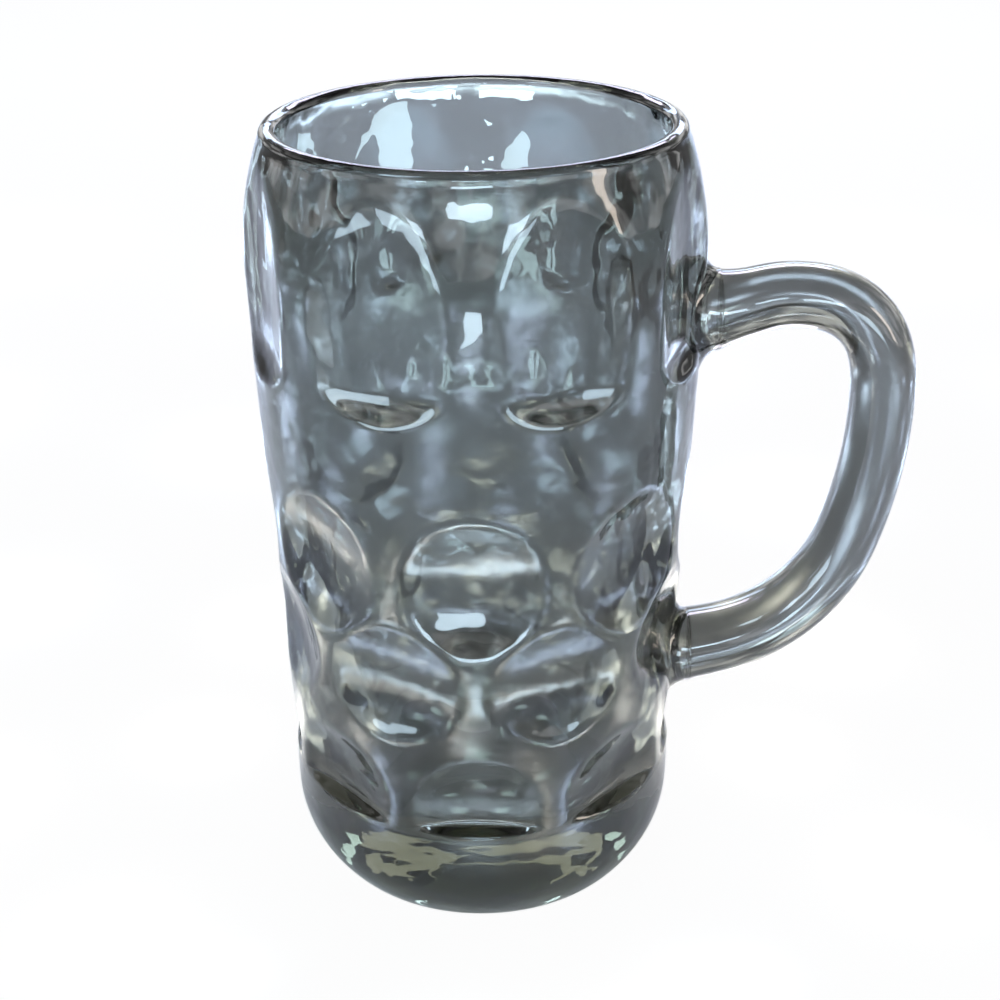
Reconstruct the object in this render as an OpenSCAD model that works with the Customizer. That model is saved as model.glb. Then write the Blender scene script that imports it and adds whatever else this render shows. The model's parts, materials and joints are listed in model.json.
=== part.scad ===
/* [Glass body] */
// Height of the body, from the foot to the top of the rim
body_h = 200; // [150:1:240]
// Radius of the wall at the waist, just above the foot
waist_r = 51.3; // [46:0.1:56]
// Height at which the wall starts to lean outwards
waist_z = 40; // [34:1:50]
// Radius of the wall where the shoulder starts to close in
shoulder_r = 56.1; // [52:0.1:60]
// Height of the foot of the shoulder
shoulder_z = 163; // [150:1:170]
// Radius of the curve that closes the shoulder in to the rim
shoulder_curve_r = 90; // [82:1:120]
// Thickness of the wall between the dimples
wall_t = 7.2; // [6:0.1:8.4]

/* [Rim] */
// Thickness of the round bead that is the drinking edge
rim_t = 4.6; // [3.6:0.1:5.2]

/* [Foot] */
// Thickness of the glass under the drink
base_t = 20; // [16:0.5:26]
// Radius of the rounding at the outer edge of the foot
foot_round_r = 30; // [27:0.5:36]
// Height of the centre of that rounding
foot_round_z = 20; // [16:0.5:22]
// Radius of the hollow under the foot
hollow_r = 30; // [20:1:34]
// Depth of the hollow under the foot
hollow_depth = 1.5; // [0.8:0.1:3]
// Radius of the rounding between the inner wall and the inner floor
floor_round_r = 14; // [8:1:20]

/* [Dimples] */
// Number of dimples round the body in each row
dimple_count = 8; // [6:1:8]
// Height of the centre of the upper round dimples
upper_dimple_z = 101.5; // [98:0.5:105]
// Half the height of an upper round dimple
upper_dimple_h = 18.6; // [15:0.1:19.5]
// Depth of an upper round dimple
upper_dimple_depth = 4.5; // [3:0.1:5]
// Height of the centre of the lower round dimples
lower_dimple_z = 73.6; // [71:0.2:76]
// Half the height of a lower round dimple
lower_dimple_h = 16.4; // [13:0.1:17]
// Depth of a lower round dimple
lower_dimple_depth = 4.1; // [3:0.1:4.6]
// Height of the centre of the cut-off dimples above the foot
foot_dimple_z = 36.5; // [34:0.5:38]
// Half the height that a cut-off dimple would have if it were whole
foot_dimple_h = 16.8; // [14:0.1:18]
// Depth of a cut-off dimple
foot_dimple_depth = 4; // [2.5:0.1:4.6]
// Height of the lowest point of the curved edge in which a cut-off dimple ends
foot_edge_z = 30.6; // [26:0.2:34]
// Slope of the face in which a cut-off dimple ends, in degrees
foot_bevel = 18; // [12:1:30]
// Half the width of a dimple, as an angle round the body
dimple_half_angle = 19; // [16:0.2:19.6]

/* [Windows] */
// Height at which the sills of the tall panels under the rim reach their full depth
window_z = 151; // [146:0.5:156]
// Depth of a panel where the wall is widest
window_depth = 3.6; // [2.4:0.1:4.4]
// Half the width of a panel there, as an angle round the body
window_half_angle = 17; // [14:0.2:19]
// Radius of the rounding of a panel's sill
window_sill_r = 12; // [8:0.5:16]

/* [Handle] */
// Width of the handle, across the hand
handle_w = 19; // [16:0.2:22]
// Thickness of the handle, from palm to knuckle
handle_t = 16; // [14:0.2:18]
// Thickness of the handle at its upper end
upper_root_t = 19.4; // [17:0.2:22]
// Thickness of the handle at its lower end
lower_root_t = 18.6; // [17:0.2:22]
// How much wider the handle is at its ends
root_spread = 2.4; // [0:0.2:4]
// Length over which the upper end thins to the grip
upper_root_len = 14; // [8:1:20]
// Length over which the lower end thins to the grip
lower_root_len = 80; // [60:1:90]
// Height of the middle of the handle where its upper end meets its weld
handle_top_z = 152.4; // [148:0.2:156]
// Upward slope of the handle's upper end, in degrees
handle_rise = 15; // [14:1:18]
// Length of the straight upper end
handle_start_len = 10; // [8:0.5:12]
// Radius of the bend over the top of the handle
crown_bend_r = 32; // [29:1:35]
// Turn of the bend over the top, in degrees
crown_turn = 29; // [27:1:31]
// Radius of the tight bend at the outer upper corner
corner_bend_r = 20; // [18:0.5:22]
// Turn of the tight bend, in degrees
corner_turn = 59; // [57:1:61]
// Radius of the bend that straightens into the grip
grip_bend_r = 35; // [31:1:39]
// Turn of that bend, in degrees
grip_turn = 14; // [12:1:16]
// Radius of the slow bend along the grip
palm_bend_r = 122; // [114:1:130]
// Turn of the slow bend, in degrees
palm_turn = 21; // [19:1:23]
// Radius of the wide bend under the hand
heel_bend_r = 46.5; // [43:0.5:49]
// Turn of the wide bend, in degrees
heel_turn = 59; // [56:1:62]

/* [Welds] */
// How far the upper weld stands out from the wall
upper_weld_t = 4.6; // [3:0.2:7]
// How far the lower weld stands out from the wall
lower_weld_t = 4.6; // [3:0.2:7]
// How much further than the handle a weld spreads over the wall on each side
weld_flare = 2.2; // [1:0.1:3]
// How far the upper weld spreads up the wall
upper_weld_up = 6.5; // [2:0.5:8]
// How far the upper weld spreads down the wall
upper_weld_down = 10; // [4:0.5:13]
// How far the lower weld spreads up the wall
lower_weld_up = 10; // [4:0.5:13]
// How far the lower weld spreads down the wall
lower_weld_down = 9; // [2:0.5:11]

/* [Hidden] */
$fn = 96;

// Overrun of every cut past the face that it opens
over = 1;
// How far the cutter of a dimple or a panel stands out of the wall
dimple_over = 1.2;
window_over = 0.8;
// How much further round than the dimple its cutter runs, in degrees
sweep_over = 1;
// Height at which the cutters of the panels end, clear of the rim
window_top_z = body_h - rim_t;
// Thickness of the thin plates that a weld is drawn between
weld_plate_t = 0.2;
// Sides of the handle's oval, the turn from ring to ring in a bend, and the rings in a straight
handle_sides = 24;
ring_turn = 6;
straight_steps = 3;

// Angle between one dimple and the next in its row
pitch = 360 / dimple_count;
// Lean of the wall between the waist and the shoulder
lean = atan((shoulder_r - waist_r) / (shoulder_z - waist_z));
// Centre of the circle that rounds the shoulder, which the leaning wall meets without a corner
shoulder_cx = shoulder_r - shoulder_curve_r * cos(lean);
shoulder_cz = shoulder_z + shoulder_curve_r * sin(lean);
// Centre of the rim's bead
rim_z = body_h - rim_t / 2;
rim_out_r = shoulder_cx + sqrt(pow(shoulder_curve_r, 2) - pow(rim_z - shoulder_cz, 2));
rim_r = rim_out_r - rim_t / 2;
// Centre of the rounding of the foot
foot_cx = waist_r - foot_round_r;
foot_flat_r = foot_cx + sqrt(pow(foot_round_r, 2) - pow(foot_round_z, 2));
// Radius of the flat dish under the foot
dish_r = (pow(hollow_r, 2) + pow(hollow_depth, 2)) / (2 * hollow_depth);
// The cavity
cavity_low_r = waist_r - wall_t;
cavity_low_z = base_t + floor_round_r;
cavity_high_r = shoulder_cx + shoulder_curve_r - wall_t;
mouth_r = rim_r - rim_t / 2;
cavity_close = cavity_high_r - mouth_r;
cavity_curve_r = (pow(rim_z - shoulder_cz, 2) + pow(cavity_close, 2)) / (2 * cavity_close);

// Radius of the wall between the dimples at a height
function wall_r(z) =
    z < waist_z ? waist_r :
    z < shoulder_z ? waist_r + (z - waist_z) * tan(lean) :
    shoulder_cx + sqrt(pow(shoulder_curve_r, 2) - pow(z - shoulder_cz, 2));

// Radius of an arc that is so deep over half a chord
function arc_r(half, depth) = (pow(half, 2) + pow(depth, 2)) / (2 * depth);

// Radius of the arc round the body that is so deep in the middle of a dimple and reaches the wall
// at the dimple's half angle
function round_r(r, depth, half_angle) =
    let (bottom = r - depth)
    (pow(r, 2) + pow(bottom, 2) - 2 * r * bottom * cos(half_angle))
    / (2 * (r * cos(half_angle) - bottom));

// Outline of the glass without its cavity, dimples and dish
module outer_outline() {
    polygon([
        [0, 0],
        [foot_flat_r, 0],
        [waist_r, foot_round_z],
        [waist_r, waist_z],
        [shoulder_r, shoulder_z],
        [rim_out_r, rim_z],
        [0, rim_z]
    ]);
    intersection() {
        translate([foot_cx, foot_round_z]) circle(r = foot_round_r);
        square([waist_r + over, foot_round_z]);
    }
    intersection() {
        translate([shoulder_cx, shoulder_cz]) circle(r = shoulder_curve_r, $fn = 360);
        translate([0, shoulder_z]) square([shoulder_r + wall_t, rim_z - shoulder_z]);
    }
    translate([rim_r, rim_z]) circle(r = rim_t / 2);
}

// Outline of the space for the drink
module cavity_outline() {
    polygon([
        [0, base_t],
        [cavity_low_r - floor_round_r, base_t],
        [cavity_low_r, cavity_low_z],
        [cavity_high_r, shoulder_cz],
        [mouth_r, rim_z],
        [mouth_r, body_h + over],
        [0, body_h + over]
    ]);
    intersection() {
        translate([cavity_low_r - floor_round_r, cavity_low_z]) circle(r = floor_round_r);
        translate([0, base_t]) square([cavity_low_r, floor_round_r]);
    }
    intersection() {
        translate([cavity_high_r - cavity_curve_r, shoulder_cz])
            circle(r = cavity_curve_r, $fn = 720);
        translate([0, shoulder_cz]) square([cavity_high_r, rim_z - shoulder_cz]);
    }
}

// Cutter of one round dimple, tilted with the wall: one radius up and down, a larger one round
module dimple_cutter(z, half_h, depth) {
    r = wall_r(z);
    up_r = arc_r(half_h, depth);
    turn_r = round_r(r, depth, dimple_half_angle);
    proud = depth + dimple_over;
    sweep = asin(r * sin(dimple_half_angle) / turn_r) + sweep_over;
    tilt = z < waist_z ? 0 : lean;
    translate([r, 0, z])
        rotate([0, tilt, 0])
        translate([turn_r - depth, 0, 0])
        rotate([0, 0, 180 - sweep])
        rotate_extrude(angle = 2 * sweep)
        intersection() {
            translate([turn_r - up_r, 0]) circle(r = up_r);
            translate([turn_r - proud, -up_r]) square([proud + over, 2 * up_r]);
        }
}

// Cutter of one tall panel: upright, with a rounded sill, open towards the rim
module window_cutter() {
    r = cavity_high_r + wall_t;
    turn_r = round_r(r, window_depth, window_half_angle);
    proud = window_depth + window_over;
    sweep = asin(r * sin(window_half_angle) / turn_r) + sweep_over;
    translate([r - window_depth + turn_r, 0, 0])
        rotate([0, 0, 180 - sweep])
        rotate_extrude(angle = 2 * sweep)
        intersection() {
            union() {
                translate([turn_r - window_sill_r, window_z]) circle(r = window_sill_r);
                translate([turn_r - window_sill_r, window_z])
                    square([window_sill_r, window_top_z - window_z]);
            }
            translate([turn_r - proud, window_z - window_sill_r])
                square([proud + over, body_h]);
        }
}

// Space above the sloping face in which a cut-off dimple ends
module above_foot_bevel() {
    translate([waist_r, 0, foot_edge_z])
        rotate([0, foot_bevel, 0])
        translate([-waist_r, -waist_r, 0])
        cube(2 * waist_r);
}

// All the dimples and panels
module dimples() {
    for (i = [0 : dimple_count - 1]) {
        rotate([0, 0, i * pitch]) {
            dimple_cutter(upper_dimple_z, upper_dimple_h, upper_dimple_depth);
            intersection() {
                dimple_cutter(foot_dimple_z, foot_dimple_h, foot_dimple_depth);
                above_foot_bevel();
            }
        }
        rotate([0, 0, (i + 0.5) * pitch]) {
            dimple_cutter(lower_dimple_z, lower_dimple_h, lower_dimple_depth);
            window_cutter();
        }
    }
}

// The dimpled glass without its cavity, which the welds are shaped to
module solid_body() {
    difference() {
        rotate_extrude() outer_outline();
        dimples();
    }
}

module body() {
    color([0.62, 0.65, 0.66])
        difference() {
            rotate_extrude()
                difference() {
                    outer_outline();
                    cavity_outline();
                    translate([0, hollow_depth - dish_r]) circle(r = dish_r, $fn = 720);
                }
            dimples();
        }
}

// The handle's middle line lies in the plane y = 0: each bend turns it towards the body
upper_face_x = wall_r(handle_top_z) + upper_weld_t;
bend_radii = [crown_bend_r, corner_bend_r, grip_bend_r, palm_bend_r, heel_bend_r];
bend_turns = [crown_turn, corner_turn, grip_turn, palm_turn, heel_turn];
bends = len(bend_radii);

// Heading of the middle line before each bend, in degrees above the outward direction
function heading(i) = i == 0 ? handle_rise : heading(i - 1) - bend_turns[i - 1];

// Point of a circle of some radius at which the middle line has a heading
function on_circle(r, angle) = r * [-sin(angle), cos(angle)];

// Point of the middle line before each bend, and the centre of that bend
function bend_start(i) =
    i == 0
    ? [upper_face_x, handle_top_z] + handle_start_len * [cos(handle_rise), sin(handle_rise)]
    : bend_centre(i - 1) + on_circle(bend_radii[i - 1], heading(i));
function bend_centre(i) = bend_start(i) - on_circle(bend_radii[i], heading(i));

// Where the last bend ends, and where the straight lower end meets the lower weld
heel_end = bend_start(bends);
end_heading = heading(bends);
lower_face_x = wall_r(heel_end[1]) + lower_weld_t;
end_len = (lower_face_x - heel_end[0]) / cos(end_heading);
handle_low_z = heel_end[1] + end_len * sin(end_heading);

// Rings of the handle as [point, heading], from the upper weld to the lower one
function straight_rings(start, angle, length, ends) = [
    for (k = ends)
        [start + k / straight_steps * length * [cos(angle), sin(angle)], angle]
];
function bend_rings(i) =
    let (steps = ceil(bend_turns[i] / ring_turn))
    [
        for (k = [0 : steps - 1])
            let (angle = heading(i) - k / steps * bend_turns[i])
            [bend_centre(i) + on_circle(bend_radii[i], angle), angle]
    ];
rings = concat(
    straight_rings([upper_face_x, handle_top_z], handle_rise, handle_start_len,
        [0 : straight_steps - 1]),
    [for (i = [0 : bends - 1]) each bend_rings(i)],
    straight_rings(heel_end, end_heading, end_len, [0 : straight_steps])
);
last = len(rings) - 1;

// Length of the middle line up to each ring
lengths = [
    for (
        i = 0, run = 0;
        i <= last;
        run = run + (i < last ? norm(rings[i + 1][0] - rings[i][0]) : 0), i = i + 1
    )
        run
];

// How far a place is into a root, from 0 at the grip to 1 at the weld
function into_root(dist, root_len) = pow(max(0, 1 - dist / root_len), 2);

// Thickness and width of the handle at each ring
upper_part = [for (run = lengths) into_root(run, upper_root_len)];
lower_part = [for (run = lengths) into_root(lengths[last] - run, lower_root_len)];
thicknesses = [
    for (i = [0 : last])
        handle_t
        + (upper_root_t - handle_t) * upper_part[i]
        + (lower_root_t - handle_t) * lower_part[i]
];
widths = [for (i = [0 : last]) handle_w + root_spread * (upper_part[i] + lower_part[i])];

// Points of one oval ring: the first and the last lie in the upright faces of the welds
function ring_points(i) =
    let (angle = rings[i][1])
    [
        for (k = [0 : handle_sides - 1])
            let (
                turn = 360 * k / handle_sides,
                point = rings[i][0] + on_circle(thicknesses[i] / 2 * cos(turn), angle),
                face_x = i == 0 ? upper_face_x : i == last ? lower_face_x : point[0],
                slide = face_x - point[0],
                rise = slide == 0 ? 0 : slide * tan(angle)
            )
            [face_x, widths[i] / 2 * sin(turn), point[1] + rise]
    ];

module handle() {
    points = [for (i = [0 : last]) each ring_points(i)];
    sides = [
        for (i = [0 : last - 1], k = [0 : handle_sides - 1])
            let (
                a = i * handle_sides + k,
                b = i * handle_sides + (k + 1) % handle_sides
            )
            each [[a, b, b + handle_sides], [a, b + handle_sides, a + handle_sides]]
    ];
    upper_end = [for (k = [handle_sides - 1 : -1 : 0]) k];
    lower_end = [for (k = [0 : handle_sides - 1]) last * handle_sides + k];
    color([0.66, 0.67, 0.66])
        polyhedron(points, concat(sides, [upper_end, lower_end]));
}

// A thin upright oval plate, as the handle's end or larger
module weld_plate(x, z, height, width) {
    translate([x, 0, z])
        rotate([0, 90, 0])
        linear_extrude(height = weld_plate_t)
        scale([height / 2, width / 2])
        circle(r = 1, $fn = 32);
}

// A weld: a collar of glass from the end of the handle to the wall, which spreads over the wall
// above and below
module weld(face_x, z, root_t, angle, up, down) {
    height = root_t / abs(cos(angle));
    width = handle_w + root_spread;
    root_x = wall_r(z) - wall_t / 2;
    color([0.58, 0.61, 0.62])
        difference() {
            hull() {
                weld_plate(face_x - weld_plate_t, z, height, width);
                weld_plate(root_x, z + (up - down) / 2, height + up + down, width + 2 * weld_flare);
            }
            solid_body();
        }
}

module upper_weld() {
    weld(upper_face_x, handle_top_z, upper_root_t, handle_rise, upper_weld_up, upper_weld_down);
}

module lower_weld() {
    weld(lower_face_x, handle_low_z, lower_root_t, end_heading, lower_weld_up, lower_weld_down);
}

body();
handle();
upper_weld();
lower_weld();
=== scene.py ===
# %% [markdown]
# # A dimpled glass beer mug
# The real mug is a heavy pressed glass body that holds about a litre, and a loop handle that is
# made apart and fused on at two places. Nothing on it moves. Here the look of each of its pieces
# is built round the same piece of the CAD model, in metres and in the same frame: Z runs up the
# middle of the body from the table, and the handle lies towards +X.

# %% The frame
import json
import math

import bpy
import numpy as np
from mathutils import Matrix, Vector
from mathutils.bvhtree import BVHTree

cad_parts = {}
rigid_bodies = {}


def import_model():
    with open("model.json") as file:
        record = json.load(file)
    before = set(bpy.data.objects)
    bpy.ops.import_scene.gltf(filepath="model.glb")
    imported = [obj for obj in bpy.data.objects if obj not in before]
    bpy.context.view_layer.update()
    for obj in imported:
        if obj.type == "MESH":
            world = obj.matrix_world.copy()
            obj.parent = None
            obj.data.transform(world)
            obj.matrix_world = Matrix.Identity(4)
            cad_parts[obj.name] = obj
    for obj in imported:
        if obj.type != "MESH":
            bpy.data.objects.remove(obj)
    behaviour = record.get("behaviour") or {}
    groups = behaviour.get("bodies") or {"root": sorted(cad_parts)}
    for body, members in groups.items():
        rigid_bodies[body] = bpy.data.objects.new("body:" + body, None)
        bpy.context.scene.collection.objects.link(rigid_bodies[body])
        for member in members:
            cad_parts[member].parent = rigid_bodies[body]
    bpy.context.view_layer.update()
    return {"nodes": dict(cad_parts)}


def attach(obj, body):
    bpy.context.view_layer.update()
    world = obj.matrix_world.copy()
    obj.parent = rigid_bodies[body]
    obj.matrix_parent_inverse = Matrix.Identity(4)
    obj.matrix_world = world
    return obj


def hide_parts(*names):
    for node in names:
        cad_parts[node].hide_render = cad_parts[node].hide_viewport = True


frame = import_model()
MM = 0.001
print("CAD nodes:", sorted(frame["nodes"]))

# %% [markdown]
# ## The sizes
# The sizes are those of the CAD model, in millimetres. A press mould gives a wall that leans out a
# little so that the plunger comes free, a shoulder that curves in, and a thick floor.

# %% Sizes of the body
BODY_HEIGHT = 200.0
WAIST_RADIUS, WAIST_HEIGHT = 51.3, 40.0
SHOULDER_RADIUS, SHOULDER_HEIGHT, SHOULDER_CURVE = 56.1, 163.0, 90.0
WALL, RIM, FLOOR = 7.2, 4.6, 20.0
FOOT_ROUND, FOOT_ROUND_HEIGHT = 30.0, 20.0
HOLLOW_RADIUS, HOLLOW_DEPTH = 30.0, 1.5
FLOOR_ROUND = 14.0

LEAN = math.atan2(SHOULDER_RADIUS - WAIST_RADIUS, SHOULDER_HEIGHT - WAIST_HEIGHT)
CURVE_RADIUS = SHOULDER_RADIUS - SHOULDER_CURVE * math.cos(LEAN)
CURVE_HEIGHT = SHOULDER_HEIGHT + SHOULDER_CURVE * math.sin(LEAN)
RIM_HEIGHT = BODY_HEIGHT - RIM / 2


def wall_radius(z):
    """Radius of the wall between the dimples, at a height above the foot."""
    if z < WAIST_HEIGHT:
        return WAIST_RADIUS
    if z < SHOULDER_HEIGHT:
        return WAIST_RADIUS + (z - WAIST_HEIGHT) * math.tan(LEAN)
    return CURVE_RADIUS + math.sqrt(SHOULDER_CURVE**2 - (z - CURVE_HEIGHT) ** 2)


WIDEST = CURVE_RADIUS + SHOULDER_CURVE
RIM_RADIUS = wall_radius(RIM_HEIGHT) - RIM / 2
print(f"widest {2 * WIDEST:.1f} mm, rim bead on a circle of {2 * RIM_RADIUS:.1f} mm")

# %% [markdown]
# ## Helpers
# One function adds a node with its settings and links, in a geometry tree or a material. Another
# turns a hex colour, as a paint chart gives it, into the linear values that Blender works with.

# %% A node, a colour, a pattern's scale
def add_node(tree, kind, inputs=None, **settings):
    """Adds a node. An input's value is a socket to link, or a plain value."""
    node = tree.nodes.new(kind)
    for name, value in settings.items():
        setattr(node, name, value)
    for key, value in (inputs or {}).items():
        if isinstance(value, bpy.types.NodeSocket):
            tree.links.new(value, node.inputs[key])
        else:
            node.inputs[key].default_value = value
    return node


def linear(hex_colour):
    """Linear RGBA of an sRGB hex colour."""
    parts = [int(hex_colour[i:i + 2], 16) / 255 for i in (1, 3, 5)]
    return [p / 12.92 if p <= 0.04045 else ((p + 0.055) / 1.055) ** 2.4 for p in parts] + [1.0]


def per(size_mm):
    """Scale of a pattern on Object coordinates, in metres, whose features are so many mm wide."""
    return 1 / (size_mm * MM)


# %% [markdown]
# ## The glass
# Soda-lime glass, melted, pressed between a mould and a plunger, then fire-polished: flames melt
# the skin again, so it is glossy but never quite flat. The eye sees that as reflections that swim
# a little. Years of washing leave a film of fine wear on the outside, which spreads a soft sheen
# round each highlight and shows how the dimples curve: the shader's coat does that. Clear glass
# takes a little light at every skin that a ray crosses, and more in the thick foot, which looks
# darker and greener. Most of the grey is painted shade, though, for a dim room seen through the
# glass, and part of it is in the base colour and part in the volume. Where two pieces have fused
# there is no skin: an attribute marks those faces, and they are left clear.

# %% Glass materials
FUSED = "fused"  # the attribute that marks the faces without a skin
RIPPLE_DETAIL, RIPPLE_ROUGH = 2.0, 0.38
# Real specks of dust lie closer together, and are drawn as coarse as they need to be to show.
DUST_MM, DUST_ROUGH, SPECK_FROM, SPECK_TO = 2.6, 0.16, 0.06, 0.11
SMEAR_MM, SMEAR_DETAIL, SMEAR_ROUGH = 26.0, 5.0, 0.6
SMEAR_FROM, SMEAR_TO, CLEANEST = 0.42, 0.72, 0.3
GLASS_IOR, FILM_IOR, FILM_ROUGH = 1.52, 1.9, 0.17


def pressed_glass(name, skin, tint_and_painted_shade, density, ripple_mm, ripple_depth, wear, film):
    """Fire-polished soda-lime glass: skin and volume tinted with painted shade, ripples, dust, a
    film.
    """
    material = bpy.data.materials.new(name)
    material.use_nodes = True
    tree = material.node_tree
    tree.nodes.clear()
    place = add_node(tree, "ShaderNodeTexCoord").outputs["Object"]
    ripple = add_node(tree, "ShaderNodeTexNoise", {
        "Vector": place, "Scale": per(ripple_mm), "Detail": RIPPLE_DETAIL,
        "Roughness": RIPPLE_ROUGH})
    dust = add_node(tree, "ShaderNodeTexVoronoi", {
        "Vector": place, "Scale": per(DUST_MM), "Randomness": 1.0})
    speck = add_node(tree, "ShaderNodeMapRange", {
        "Value": dust.outputs["Distance"], "From Min": SPECK_FROM, "From Max": SPECK_TO,
        "To Min": 1.0, "To Max": 0.0})
    smear = add_node(tree, "ShaderNodeTexNoise", {
        "Vector": place, "Scale": per(SMEAR_MM), "Detail": SMEAR_DETAIL,
        "Roughness": SMEAR_ROUGH})
    sheen = add_node(tree, "ShaderNodeMapRange", {
        "Value": smear.outputs["Fac"], "From Min": SMEAR_FROM, "From Max": SMEAR_TO,
        "To Min": wear * CLEANEST, "To Max": wear})
    rough = add_node(tree, "ShaderNodeMath", {
        0: speck.outputs["Result"], 1: DUST_ROUGH, 2: sheen.outputs["Result"]},
        operation="MULTIPLY_ADD")
    bump = add_node(tree, "ShaderNodeBump", {
        "Height": ripple.outputs["Fac"], "Strength": 1.0, "Distance": ripple_depth * MM})
    fused = add_node(tree, "ShaderNodeAttribute", attribute_name=FUSED).outputs["Fac"]
    skin_there = add_node(tree, "ShaderNodeMath", {0: 1.0, 1: fused}, operation="SUBTRACT")
    surface = add_node(tree, "ShaderNodeBsdfPrincipled", {
        "Base Color": linear(skin), "Metallic": 0.0, "IOR": GLASS_IOR,
        "Transmission Weight": 1.0, "Roughness": rough.outputs["Value"],
        "Coat Weight": film, "Coat Roughness": FILM_ROUGH, "Coat IOR": FILM_IOR,
        "Normal": bump.outputs["Normal"], "Coat Normal": bump.outputs["Normal"],
        "Alpha": skin_there.outputs["Value"]})
    inside = add_node(tree, "ShaderNodeVolumeAbsorption", {
        "Color": linear(tint_and_painted_shade), "Density": density})
    add_node(tree, "ShaderNodeOutputMaterial", {
        "Surface": surface.outputs["BSDF"], "Volume": inside.outputs["Volume"]})
    print(name, "ripples of", ripple_mm, "mm, density", density)
    return material


# The grey of both glasses' base colour and volume tint is mostly painted shade: it stands in for
# a dim room seen through clear glass. Their faint green, strongest in the thick foot, is real.
PRESSED = dict(skin="#9ca09f", tint_and_painted_shade="#b3b59a", density=44.0, ripple_mm=13.0, ripple_depth=0.60,
               wear=0.03, film=0.22)
# The handle's slightly warmer colour is a painted reflection of a wooden table under it.
GATHERED = dict(skin="#9b9d9a", tint_and_painted_shade="#b4b3aa", density=60.0, ripple_mm=16.0, ripple_depth=0.22,
                wear=0.06, film=0.3)
body_glass = pressed_glass("pressed_soda_lime_body", **PRESSED)
handle_glass = pressed_glass("gathered_soda_lime_handle", **GATHERED)
collar_glass = pressed_glass("fused_soda_lime_collar", **GATHERED)

# %% [markdown]
# ## The body before its dimples
# A pressed body is a solid of revolution, so its half section is drawn once and turned about the
# axis. The rows are closest where dimples come, because the dimples are pressed into this mesh and
# a reflection shows every facet. The section runs from under the foot, up the outside, over the
# rim and down the inside, so that the mesh is one closed skin.

# %% Arcs and even rows
def arc(centre_r, centre_z, radius, first, last, steps):
    """Points (r, z) of an arc, from one angle to another in degrees."""
    return [(centre_r + radius * math.cos(a), centre_z + radius * math.sin(a))
            for a in np.radians(np.linspace(first, last, steps + 1))]


def spaced(first, last, step):
    """Heights from first up to, but not at, last."""
    return list(np.linspace(first, last, round((last - first) / step) + 1)[:-1])


# %% Half section, from under the foot to the rim
HOLLOW_ROWS, FOOT_ROWS = (8, 16, 23, 28, 29.4), (HOLLOW_RADIUS, 30.8, 36.5, 42.2)
FOOT_STEPS, BEAD_STEPS = 14, 14
BANDS = [(26, 1.6), (122, 0.82), (139, 1.7), (160, 0.9), (192, 1.6), (RIM_HEIGHT, 1.2)]

dish = (HOLLOW_RADIUS**2 + HOLLOW_DEPTH**2) / (2 * HOLLOW_DEPTH)
under = [(r, HOLLOW_DEPTH - dish + math.sqrt(dish**2 - r * r)) for r in HOLLOW_ROWS]
under += [(r, 0.0) for r in FOOT_ROWS]
touch = -math.degrees(math.asin(FOOT_ROUND_HEIGHT / FOOT_ROUND))
foot = arc(WAIST_RADIUS - FOOT_ROUND, FOOT_ROUND_HEIGHT, FOOT_ROUND, touch, 0, FOOT_STEPS)[:-1]
heights, start = [], FOOT_ROUND_HEIGHT
for end, step in BANDS:
    heights += spaced(start, end, step)
    start = end
outside = [(wall_radius(z), z) for z in heights]
bead = arc(RIM_RADIUS, RIM_HEIGHT, RIM / 2, 0, 180, BEAD_STEPS)
print(len(under), "rows under the foot,", len(foot) + len(outside), "on the outside")

# %% Half section, down the inside
MOUTH = RIM_RADIUS - RIM / 2
CAVITY_HIGH, CAVITY_LOW = WIDEST - WALL, WAIST_RADIUS - WALL
CURVE_STEPS, STRAIGHT_STEPS, ROUND_STEPS, FLOOR_ROWS = 8, 6, 12, (24.0, 16.0, 8.0)
close_in = CAVITY_HIGH - MOUTH
inner_curve = ((RIM_HEIGHT - CURVE_HEIGHT) ** 2 + close_in**2) / (2 * close_in)
inside = [(CAVITY_HIGH - inner_curve + math.sqrt(inner_curve**2 - (z - CURVE_HEIGHT) ** 2), z)
          for z in np.linspace(RIM_HEIGHT, CURVE_HEIGHT, CURVE_STEPS + 1)[1:]]
low = FLOOR + FLOOR_ROUND
inside += [(CAVITY_HIGH + (CAVITY_LOW - CAVITY_HIGH) * t, CURVE_HEIGHT + (low - CURVE_HEIGHT) * t)
           for t in np.linspace(0, 1, STRAIGHT_STEPS + 1)[1:-1]]
inside += arc(CAVITY_LOW - FLOOR_ROUND, low, FLOOR_ROUND, 0, -90, ROUND_STEPS)
inside += [(r, FLOOR) for r in FLOOR_ROWS]
section = under + foot + outside + bead + inside
print(len(section), "rows in the section, mouth", round(2 * MOUTH, 1), "mm across")

# %% [markdown]
# The rows are turned round the axis in equal steps, a whole number of them for each of the eight
# dimples, so that every dimple gets the same mesh. A point attribute marks the outside, which is
# the only face that the mould's dimples reach.

# %% Turn the section
ROUND = 392


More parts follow.
